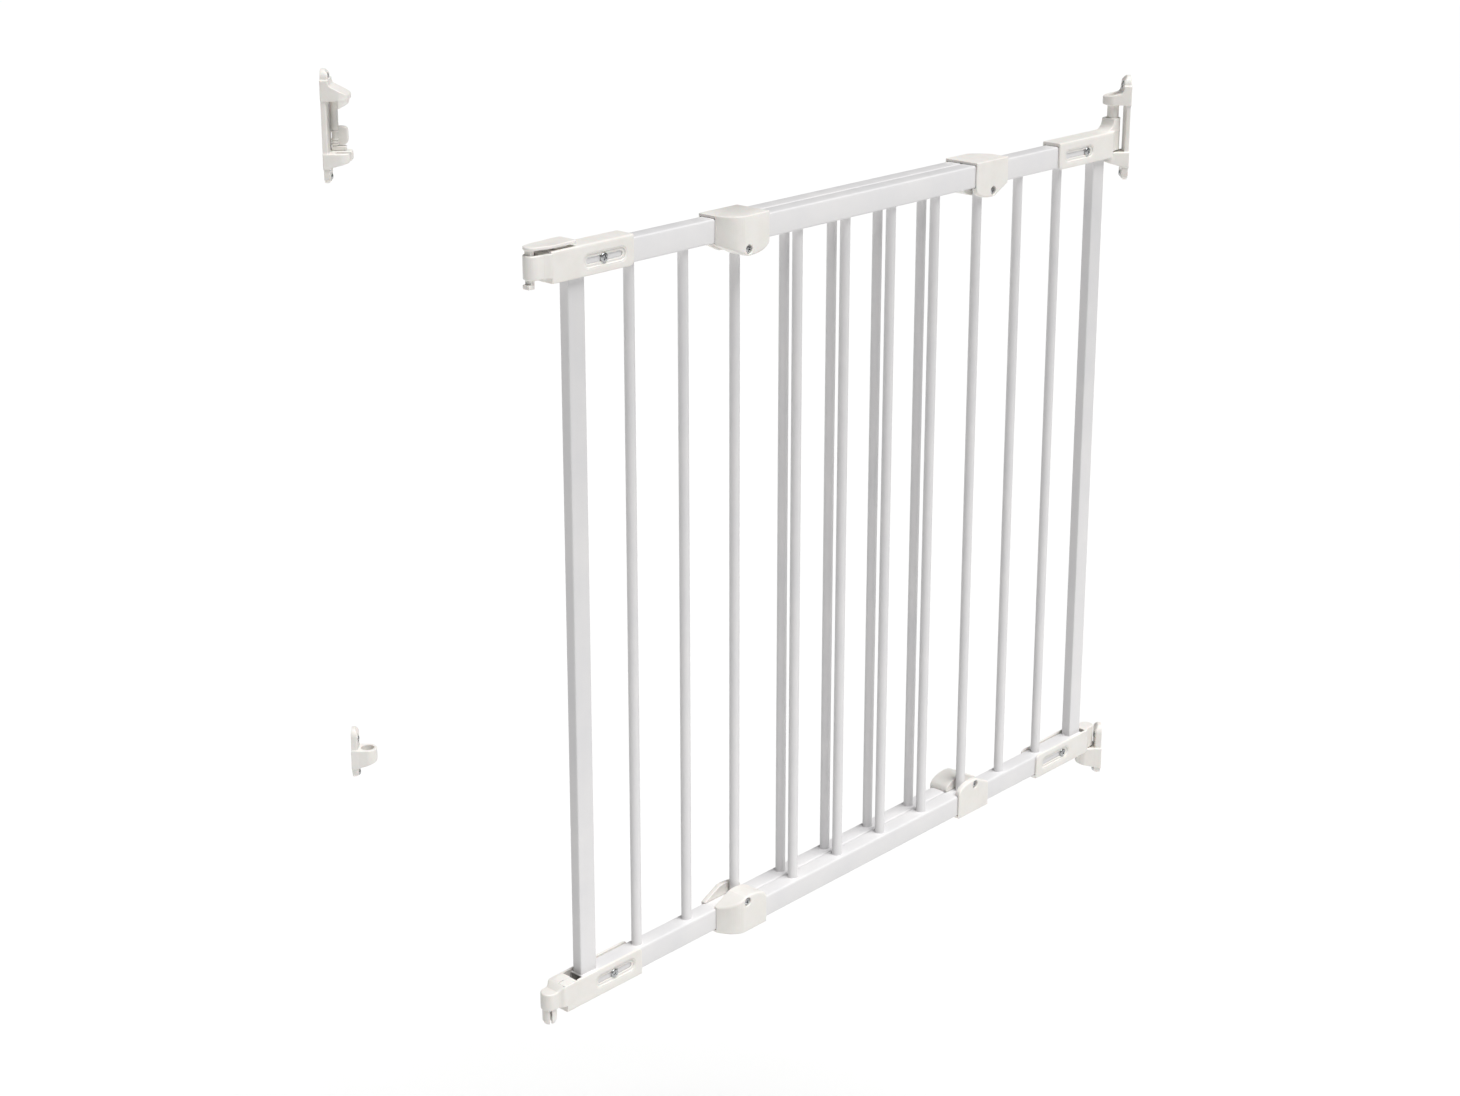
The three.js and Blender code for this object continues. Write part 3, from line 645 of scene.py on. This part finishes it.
def corner_shape(nose_low, nose_high, opens_at=CHANNEL_START, neck=7, shoulder=14):
    """The part that every corner shares: a channelled body with a round nose and a slotted side.

    The channel that holds the rail is open towards the bars from opens_at on.
    """
    end, half = CORNER_END, CORNER_SIDE
    low, high, notch = 695.5, 724, 12.8
    ends = [(neck, -NOSE_R), (shoulder, -half), (end, -half), (end, half), (shoulder, half), (neck, NOSE_R)]
    plan = filleted(ends, [0.1, 5, 2.5, 2.5, 5, 0.1])
    section = filleted([(-half, 680), (half, 680), (half, high), (-half, high)], [0, 0, 3, 3])
    side = filleted([(-20, low), (end, low), (end, 740), (-20, 740)], [0, 7, 0, 0])
    body = meet(1.4, prism(plan, "z", 690, 730), prism(section, "x", 0, end), prism(side, "y", -20, 20))
    if nose_low > low + 0.5:
        body = cut(0.8, body, block(-30, notch, -20, 20, 660, nose_low))
    if nose_high < high - 1:
        body = cut(0.8, body, block(-30, notch, -20, 20, nose_high, 760))
    shell = join(1.5, body, prism(nose_plan(18), "z", nose_low, nose_high, 1.2))
    channel = block(CHANNEL_START, 130, -CLEAR, CLEAR, CHANNEL_LOW, CHANNEL_HIGH, 0.5)
    opening = block(opens_at, 130, -CLEAR, CLEAR, 600, 700)
    outer_dish = prism(stadium(49.6, 102.4, SCREW_Z, 7.0), "y", half - 0.7, half + 2)
    dish = prism(stadium(51, 101, SCREW_Z, 5.75), "y", half - DISH_DEPTH, half + 2)
    through = prism(stadium(54, 98, SCREW_Z, 2.8), "y", 8, half + 2)
    return cut(0.25, cut(0.8, cut(0.9, shell, outer_dish, dish), through), channel, opening)


CORNER_LOW, CORNER_HIGH = (-9, -12.5, 692), (113, 12.5, 738)


def add_corner(name, shape, matrix, body):
    """A corner's piece is named after its node."""
    look = PLASTIC_LOOK
    return mould(name + "_moulding", shape, CORNER_LOW, CORNER_HIGH, COARSE, matrix, body, *look, name)


def upper_hinge_corner():
    """It carries the pin in a boss that falls away towards the rail."""
    top = 737
    side = [(-9, 722), (-9, top), (NOSE_R, top)]
    side += bezier(side[-1], (9.2, 728), (14, 724.8), (24, 723.6))
    side += [(24, 722)]
    boss = meet(1.2, prism(side, "y", -9, 9), prism(nose_plan(26), "z", 715, top))
    shape = join(1.0, corner_shape(701.5, 724), boss)
    return cut(0.6, shape, rod(0, 0, BORE_R, "z", 727.7, 740))


def lower_hinge_corner():
    return cut(0.6, corner_shape(696, 721.5), rod(0, 0, BORE_R, "z", 711.7, 725))


def upper_latch_corner():
    slot = block(-5.4, 5.8, -4.3, 4.3, 680, 740)
    return cut(0.4, corner_shape(700.5, 722, 26.7), slot)


KEY_SEAT = (10, 26.4, 0.9, 10.4)  # along and across the lower latch corner


def lower_latch_corner():
    """Its nose runs up to the body's top in a gentle slope, and its key lies flush in a seat."""
    ramp = prism([(-30, 660), (10.5, 660), (10.5, 695.2), (9, 696), (3.5, 700), (-30, 700)], "y", -20, 20)
    body = corner_shape(695.5, 717, 26.2, 5.5, 10)
    return cut(0.15, cut(1.8, body, ramp), block(*KEY_SEAT, 690, 706))


add_corner("upper_hinge_corner", upper_hinge_corner(), hinge_corner_axes(), "hinge_end")
add_corner("lower_hinge_corner", lower_hinge_corner(), hinge_corner_axes(True), "hinge_end")
add_corner("upper_latch_corner", upper_latch_corner(), latch_corner_axes(), "latch_end")
add_corner("lower_latch_corner", lower_latch_corner(), latch_corner_axes(True), "latch_end")


# ---------------------------------------------------------------- key, pins and thumb latch
def small(name, shape, low, high, matrix, body, *nodes, look=PLASTIC_LOOK, cell=FINE):
    return mould(name, shape, low, high, cell, matrix, body, *look, *nodes)


small(
    "locking_key", block(10.05, 25.5, 1.7, 10.35, 695.5, 705.7, 0.15), (10, 1, 695), (27, 11, 706),
    latch_corner_axes(True), "latch_end", "latch_pin_key",
)
small(
    "hinge_pin_upper", rod(0, 0, PIN_R, "z", 728, 757, 0.8), (-7, -7, 727), (7, 7, 758),
    hinge_corner_axes(), "hinge_pins", "upper_hinge_pin",
)
small(
    "hinge_pin_lower", rod(0, 0, PIN_R, "z", -19.3, 8, 1.0), (-7, -7, -20), (7, 7, 9),
    hinge_corner_axes(), "hinge_pins", "lower_hinge_pin",
)


def strip(start, end, half, degrees):
    """A strip of the plane from start to end along a line at the angle."""
    c, s = math.cos(math.radians(degrees)), math.sin(math.radians(degrees))
    corners = ((start, -half), (end, -half), (end, half), (start, half))
    return [(c * u - s * v, s * u + c * v) for u, v in corners]


def latch_pin():
    """A pin parted into three prongs at its foot."""
    profile = [(-20, -12.5), (5.1, -12.5), (6.7, -9), (6.7, 16), (-20, 16)]
    body = turned(filleted(profile, [0, 0.8, 0.8, 0.6, 0]), 0, 0, "z")
    slits = [prism(strip(-0.5, 9, 1.1, turn), "z", -20, 2) for turn in (0, 120, 240)]
    return cut(0.4, body, *slits)


small(
    "latch_pin", latch_pin(), (-7, -7, -13), (7, 7, 17),
    latch_corner_axes(), "latch_end", "lower_latch_pin",
)


def thumb_latch():
    """A dished cap on a runner, with a tongue that hangs through the corner and ends in a toe."""
    cap = [(43, -11), (43, 11), (14, 11)]
    cap += bezier((14, 11), (11, 11), (6, 9.5), (0, 8), 8)
    cap += arc(0, 0, 8, 90, 270, 24)[1:]
    cap += bezier((0, -8), (6, -9.5), (11, -11), (14, -11), 8)
    top = prism(filleted(cap, [3, 3] + [0] * (len(cap) - 2)), "z", 726.4, 729.7, 1.1)
    dish = ball(17, 0, 800, 71)
    tongue = block(-5.1, -1, -4, 4, 692.5, 728, 0.4)
    toe = block(-8, -3, -4, 4, 692.5, 696.5, 0.5)
    runner = block(20, 34, -7, 7, 724.3, 728)
    return join(0.6, cut(1.5, top, dish), tongue, toe, runner)


small(
    "thumb_cap", thumb_latch(), (-8.5, -11.5, 692), (43.5, 11.5, 730),
    latch_corner_axes(), "thumb_latch", "thumb_latch",
)


SPRING_START, SPRING_END = -0.7, 14
SPRING_Z = 712


def return_spring(radius=1.95, wire=0.4, turns=6, steps=24, sides=10):
    """The coil behind the tongue, which on the real gate shortens as the thumb latch slides."""
    points, faces = [], []
    count = turns * steps
    for i in range(count + 1):
        turn = 2 * math.pi * i / steps
        middle = SPRING_START + wire + (SPRING_END - SPRING_START - 2 * wire) * i / count
        for j in range(sides):
            lean = 2 * math.pi * j / sides
            reach = radius + wire * math.cos(lean)
            x = middle + wire * math.sin(lean)
            points.append((x, reach * math.cos(turn), SPRING_Z + reach * math.sin(turn)))
    for i in range(count):
        for j in range(sides):
            a, b = i * sides + j, i * sides + (j + 1) % sides
            faces.append((b, a, a + sides, b + sides))
    faces.append(tuple(range(sides)))
    faces.append(tuple(range(count * sides, (count + 1) * sides))[::-1])
    return np.array(points), faces


spring_axes = latch_corner_axes()
spring = crisp(
    add_piece("return_coil", *return_spring(), None, spring_axes, "latch_end", *ZINC_LOOK, "latch_spring")
)
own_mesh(spring)


# ---------------------------------------------------------------- sleeves
def sleeve_shape():
    """It is fixed to the end of its own rail, and the other frame's rail and bars pass through it."""
    start, end, top, foot = SLEEVE_START, SLEEVE_END, SLEEVE_TOP, 695.5
    plan = [(start, PASSING_SIDE), (end, PASSING_SIDE), (end, REAR + OWN_FACE + 1.2)]
    plan += bezier(plan[-1], (585.6, -4), (582, OWN_SIDE - 3), (570, OWN_SIDE), 16)
    plan += [(start, OWN_SIDE)]
    side = [(start, top), (start, foot)]
    side += bezier(side[-1], (start + 1, 687.5), (LOBE_AT - 14, 684.5), (LOBE_AT - 2, 684.5), 16)
    side += [(LOBE_AT + 3, 685), (end, foot), (end, top)]
    body = meet(2.4, prism(plan, "z", 670, top), prism(side, "y", -60, 40))
    own = block(500, RAIL_END + GAP, -CLEAR, CLEAR, CHANNEL_LOW, CHANNEL_HIGH, 0.5)
    passing = block(500, 620, REAR - CLEAR, REAR + CLEAR, CHANNEL_LOW, CHANNEL_HIGH, 0.5)
    ear = PASSING_SIDE + 6
    bar_way = block(500, 620, ear, ear + 12, 660, CHANNEL_LOW + 1, 0.8)
    sunk = [
        rod(LOBE_AT, LOBE_SCREW_Z, 4.3, "y", OWN_SIDE - 2.9, OWN_SIDE + 9),
        rod(LOBE_AT, LOBE_SCREW_Z, 4.3, "y", PASSING_SIDE - 9, PASSING_SIDE + 2.9),
    ]
    return cut(0.9, cut(0.3, body, own, passing), bar_way, *sunk)


SLEEVE_LOW, SLEEVE_HIGH = (535, PASSING_SIDE, 684), (589, OWN_SIDE, 724)


for frame_name in ("hinge_frame", "latch_frame"):
    for level in ("upper", "lower"):
        node = f"{frame_name}_{level}_sleeve"
        mould(
            short(node), sleeve_shape(), SLEEVE_LOW, SLEEVE_HIGH, COARSE,
            frame_axes(frame_name, level == "lower"), frame_name, *PLASTIC_LOOK, node, key="sleeve",
        )


# ---------------------------------------------------------------- wall brackets
def backplate(low, high, side):
    """A plate with round ends, as high as the bracket, with the given side view."""
    face = arc(0, high - 10, 10, 0, 180, 16) + arc(0, low + 10, 10, 180, 360, 16)
    return meet(1.6, prism(face, "x", 0, 40), prism(side, "y", -40, 40))


def arm_plan(r, rear=None):
    """An arm from the wall, round about the pin's axis, or square at its rear if it runs on to there."""
    if rear is None:
        return [(-5, -r), (WALL_TO_AXIS, -r), *arc(WALL_TO_AXIS, 0, r, -90, 90, 24)[1:], (-5, r)]
    tip = WALL_TO_AXIS + r
    front = [(-5, -r), *arc(WALL_TO_AXIS, 0, r, -90, 0, 14)]
    return front + [(tip, rear - 4), (tip - 1.2, rear - 1.2), (tip - 4, rear), (-5, rear)]


def plate_side(low, high, arm_low, arm_high):
    """An upper bracket's plate from the side: thinner between its arms."""
    below = [(0, low), (4.5, low), (PLATE_DEPTH, low + 4), (PLATE_DEPTH, arm_low)]
    between = [(5.5, arm_low), (5.5, arm_high)]
    above = [(8.5, arm_high), (8.5, high - 6), (4.5, high), (0, high)]
    return filleted(below + between + above, [0, 1, 2, 0, 0, 0, 0, 3, 1.5, 0])


def wall_bracket(shape, *screw_heights):
    """The shape with its screw holes, cut flat where it meets the wall."""
    wall = block(-20, 0, -60, 60, -100, 900)
    return cut(0, cut(0.6, shape, *[screw_hole(z) for z in screw_heights]), wall)


def screw_hole(z):
    return join(0, rod(0, z, 2.2, "x", -5, 40), rod(0, z, 3.9, "x", PLATE_DEPTH - SEAT_DEPTH, 40))


LOW_ARM = filleted([(0, 683), (7.5, 684), (31, 690.5), (31, 700), (0, 700)], [0, 0, 1.5, 1.2, 0])


def upper_hinge_bracket():
    """A plate with a rest under the gate's corner and a bored arm over it."""
    top_arm = filleted(
        [(0, 751), (31, 751), (31, 759.5), (9.5, 764), (8.5, 772), (0, 772)], [0, 1, 1.6, 7, 0, 0]
    )
    plan = prism(arm_plan(ARM_R), "z", 600, 800)
    arms = [meet(1.3, plan, prism(side, "y", -20, 20)) for side in (LOW_ARM, top_arm)]
    shape = join(1.6, backplate(668, 783, plate_side(668, 783, 684, 751)), *arms)
    shape = cut(0.5, shape, rod(WALL_TO_AXIS, 0, BORE_R, "z", 745, 800))
    return wall_bracket(shape, *HINGE_SCREWS)


mould(
    "hinge_bracket_upper", upper_hinge_bracket(), (0, -12, 667), (30, 12, 784), COARSE,
    HINGE_WALL_AXES, "hinge_wall", *PLASTIC_LOOK, "upper_hinge_bracket",
)


def upper_catch_bracket():
    """A plate with an arm over the thumb latch and a slotted one that its toe hooks under."""
    top_arm = filleted(
        [(0, 757), (31, 757), (31, 762.5), (9.5, 774), (8.5, 780), (0, 780)], [0, 1, 1.6, 5, 0, 0]
    )
    plan = prism(arm_plan(ARM_R, CATCH_REAR), "z", 600, 800)
    arms = [meet(1.3, plan, prism(side, "y", -30, 40)) for side in (LOW_ARM, top_arm)]
    web = block(0, 5.5, -10, CATCH_REAR, 695, 760, 0.8)
    lip_side = filleted([(18.4, 760), (18.4, 748.5), (31, 755), (31, 760)], [0, 1.2, 1.2, 0])
    lip = meet(1.0, prism(lip_side, "y", -13, 13), prism(arm_plan(ARM_R), "z", 735, 760))
    shape = join(1.6, backplate(666, 792, plate_side(666, 792, 684, 757)), *arms, web)
    behind = block(-20, 60, CATCH_REAR, 60, 600, 900)
    shape = cut(0, join(0.8, shape, lip), behind)
    hook_slot = block(12.6, 60, -4.6, 4.6, 670, 701)
    undercut = block(9.4, 60, -4.6, 4.6, 670, 697)
    return wall_bracket(cut(0.6, shape, hook_slot, undercut), *CATCH_SCREWS)


mould(
    "catch_bracket_upper", upper_catch_bracket(), (0, -12, 665), (30, 21.5, 793), COARSE,
    LATCH_WALL_AXES, "latch_wall", *PLASTIC_LOOK, "upper_catch_bracket",
)


def lower_bracket(rim, tip, root, floor):
    """A plate and a cup, whose heights are its rim, its underside at the tip and the root, and its floor."""
    low, high, d = -36, 26, PLATE_DEPTH
    outline = [(0, low), (4.5, low), (d, low + 4), (d, high - 6), (4.5, high), (0, high)]
    side = filleted(outline, [0, 1, 2, 3, 1.5, 0])
    cup_side = filleted([(0, root - 1), (d, root), (30, tip), (30, rim), (0, rim)], [0, 0, 2.5, 1.2, 0])
    cup = meet(1.2, prism(arm_plan(11), "z", -60, 40), prism(cup_side, "y", -20, 20))
    shape = join(1.8, backplate(low, high, side), cup)
    shape = cut(0.8, shape, rod(WALL_TO_AXIS, 0, 7.6, "z", floor, 60))
    return wall_bracket(shape, *CUP_SCREWS)


LOWER_LOW, LOWER_HIGH = (0, -12, -37), (30, 12, 27)
mould(
    "hinge_bracket_lower", lower_bracket(-2.5, -22, -26, -19.8), LOWER_LOW, LOWER_HIGH, COARSE,
    HINGE_WALL_AXES, "hinge_wall", *PLASTIC_LOOK, "lower_hinge_bracket",
)
mould(
    "latch_bracket_lower", lower_bracket(0, -15.5, -23, -13.2), LOWER_LOW, LOWER_HIGH, COARSE,
    LATCH_WALL_AXES, "latch_wall", *PLASTIC_LOOK, "lower_latch_bracket",
)


def stop_block():
    """A round paddle on a foot, beside the ribbed core that the post stands on."""
    outline = filleted([(8, 706), (25, 706), (25, 726.6), (8, 726.6)], [0, 7, 6, 0])
    paddle = prism(outline, "y", 12.5, 19, 1.5)
    foot = block(7, 22.6, 10.5, 19, 700.3, 705, 0.8)
    core = rod(*STOP_AT, 3.3, "z", 701, 724)
    ribs = [rod(*STOP_AT, 4.5, "z", z, z + 1.7, 0.6) for z in (705.8, 708.6, 711.4, 720.2)]
    return join(0.2, join(1.0, paddle, foot), core, *ribs)


small(
    "stop_paddle", stop_block(), (6, 9, 700), (26, 19.5, 727),
    LATCH_WALL_AXES, "latch_wall", "swing_stop_block",
)
small(
    "stop_post", rod(*STOP_AT, 4.3, "z", 722.8, 756.7, 0.5), (6, 9, 722), (15.5, 19, 757),
    LATCH_WALL_AXES, "latch_wall", "swing_stop_spindle",
)


# ---------------------------------------------------------------- screws
def screw_shape(head, height, shank, length):
    """A pan head, highest at y = 0, with a Pozidriv recess, on a plain shank that runs to -y."""
    profile = [(-9, -height), (head, -height)]
    profile += bezier((head, -height), (head, -0.35 * height), (head * 0.72, 0), (0, 0), 12)
    profile += [(-9, 0)]
    dome = turned(profile, 0, 0, "y")
    body = join(0.1, dome, rod(0, 0, shank, "y", -length, -height + 0.2, 0.3))
    wing, reach = head * 0.13, head * 0.56
    cross = [prism(strip(-reach, reach, wing, turn), "y", -height * 0.72, 2) for turn in (20, 110)]
    pit = turned([(-9, 2), (-9, -height * 0.8), (head * 0.16, -height * 0.8), (head * 0.3, 2)], 0, 0, "y")
    return cut(0.18, body, *cross, pit)


SCREWS = {  # head radius and height, shank radius, length
    "corner": (4.4, 1.6, 2.2, 6.5),
    "sleeve": (4.0, 1.8, 1.9, 5.0),
    "wall": (3.6, 2.6, 1.9, 6.5),
}


def add_screw(kind, name, node, matrix, body):
    head, height, shank, length = SCREWS[kind]
    low, high = (-head, -length, -head), (head, 0, head)
    mould(
        name, screw_shape(head, height, shank, length), low, high, SCREW_CELL,
        matrix, body, *ZINC_LOOK, node, key="screw_" + kind,
    )


def screw_matrix(base, x, y, z, facing):
    """A screw's own axes at a point of a piece's axes, with its head facing along +y, -y or +x of them."""
    turn = {
        "+y": Matrix.Identity(3),
        "-y": Matrix(((-1, 0, 0), (0, -1, 0), (0, 0, 1))),
        "+x": Matrix(((0, 1, 0), (-1, 0, 0), (0, 0, 1))),
    }[facing]
    return base @ (Matrix.Translation((x, y, z)) @ turn.to_4x4())


CORNER_SCREW_AT = 29.4
CORNER_SCREW_TOP = CORNER_SIDE - DISH_DEPTH + SCREWS["corner"][1]
LOBE_SCREW_SUNK = 0.8
FRAME_SCREWS = [
    ("corner", "corner", CORNER_SCREW_AT, CORNER_SCREW_TOP, SCREW_Z),
    ("sleeve", "fixing", LOBE_AT, OWN_SIDE - LOBE_SCREW_SUNK, LOBE_SCREW_Z),
    ("sleeve", "clamp", LOBE_AT, PASSING_SIDE + LOBE_SCREW_SUNK, LOBE_SCREW_Z),
]
for frame_name in ("hinge_frame", "latch_frame"):
    for level in ("upper", "lower"):
        base = frame_axes(frame_name, level == "lower")
        for kind, job, x, y, z in FRAME_SCREWS:
            if job == "corner" and frame_name == "latch_frame":
                y = -y  # its slotted faces are on the other side of its own axes
            stem = f"{frame_name}_{level}_{job}"
            place = screw_matrix(base, x, y, z, "+y" if y > 0 else "-y")
            add_screw(kind, short(stem) + "_bolt", stem + "_screw", place, frame_name)

WALL_SCREWS = [
    ("upper_hinge", HINGE_WALL_AXES, "hinge_wall", HINGE_SCREWS),
    ("lower_hinge", HINGE_WALL_AXES, "hinge_wall", CUP_SCREWS),
    ("upper_catch", LATCH_WALL_AXES, "latch_wall", CATCH_SCREWS),
    ("lower_latch", LATCH_WALL_AXES, "latch_wall", CUP_SCREWS),
]
WALL_SCREW_TOP = PLATE_DEPTH - SEAT_DEPTH + GAP + SCREWS["wall"][1]
for bracket, base, body, heights in WALL_SCREWS:
    for i, z in enumerate(heights, 1):
        place = screw_matrix(base, WALL_SCREW_TOP, 0, z, "+x")
        add_screw("wall", f"{bracket}_bolt_{i}", f"{bracket}_wall_screw_{i}", place, body)


# ---------------------------------------------------------------- floor, light and camera
SKY_TINT, SKY_STRENGTH = (0.98, 0.985, 1.0), 0.08
BACKDROP = (0.97, 0.97, 0.97)


def studio():
    """A dim sky, so that the sun and the floor do the lighting, behind a backdrop as pale as the floor."""
    world = bpy.data.worlds.new("studio")
    world.use_nodes = True
    tree = world.node_tree
    sky = tree.nodes["Background"]
    sky.inputs["Color"].default_value = (*SKY_TINT, 1)
    sky.inputs["Strength"].default_value = SKY_STRENGTH
    backdrop = tree.nodes.new("ShaderNodeBackground")
    backdrop.inputs["Color"].default_value = (*BACKDROP, 1)
    path = tree.nodes.new("ShaderNodeLightPath")
    seen = tree.nodes.new("ShaderNodeMixShader")
    tree.links.new(path.outputs["Is Camera Ray"], seen.inputs["Fac"])
    tree.links.new(sky.outputs["Background"], seen.inputs[1])
    tree.links.new(backdrop.outputs["Background"], seen.inputs[2])
    tree.links.new(seen.outputs["Shader"], tree.nodes["World Output"].inputs["Surface"])
    bpy.context.scene.world = world


studio()

FLOOR_DROP = 0.7  # below the gate, which hangs on its brackets
FLOOR_SIZE = 60


def floor():
    z = cad_box[0].z - FLOOR_DROP
    half = FLOOR_SIZE / 2
    corners = [(-half, -half, z), (half, -half, z), (half, half, z), (-half, half, z)]
    mesh = bpy.data.meshes.new("floor")
    mesh.from_pydata(corners, [], [(0, 1, 2, 3)])
    material, tree, principled = shader("pale_floor", (0.94, 0.94, 0.94), 0.9, Specular_IOR_Level=0.1)
    tones = ramp(tree, noise(tree, 0.6, 2), [(0.3, (0.935, 0.935, 0.93)), (0.7, (0.95, 0.95, 0.945))])
    tree.links.new(tones, principled.inputs["Base Color"])
    mesh.materials.append(material)
    made = bpy.data.objects.new("floor", mesh)
    bpy.context.scene.collection.objects.link(made)


floor()


def sun(name, towards, strength, spread_deg):
    """A broad, even light from a direction."""
    light = bpy.data.lights.new(name, "SUN")
    light.energy = strength
    light.angle = math.radians(spread_deg)
    lamp = bpy.data.objects.new(name, light)
    lamp.rotation_euler = Vector(towards).to_track_quat("Z", "Y").to_euler()
    bpy.context.scene.collection.objects.link(lamp)


sun("overhead", UP + 0.42 * FRONT, 3.5, 40)

CAMERA_PLACE = (-0.469, -2.6284, 1.1951)
CAMERA_PITCH, CAMERA_YAW = 0.2861, 0.0139
camera = bpy.data.objects.new("camera", bpy.data.cameras.new("camera"))
camera.location = CAMERA_PLACE
camera.rotation_euler = (math.pi / 2 - CAMERA_PITCH, 0, -CAMERA_YAW)
camera.data.lens = 60.46
camera.data.sensor_width = 36
camera.data.shift_y = -0.1
camera.data.clip_start, camera.data.clip_end = 0.05, 200
bpy.context.scene.collection.objects.link(camera)
bpy.context.scene.camera = camera
bpy.context.scene.view_settings.view_transform = "Standard"
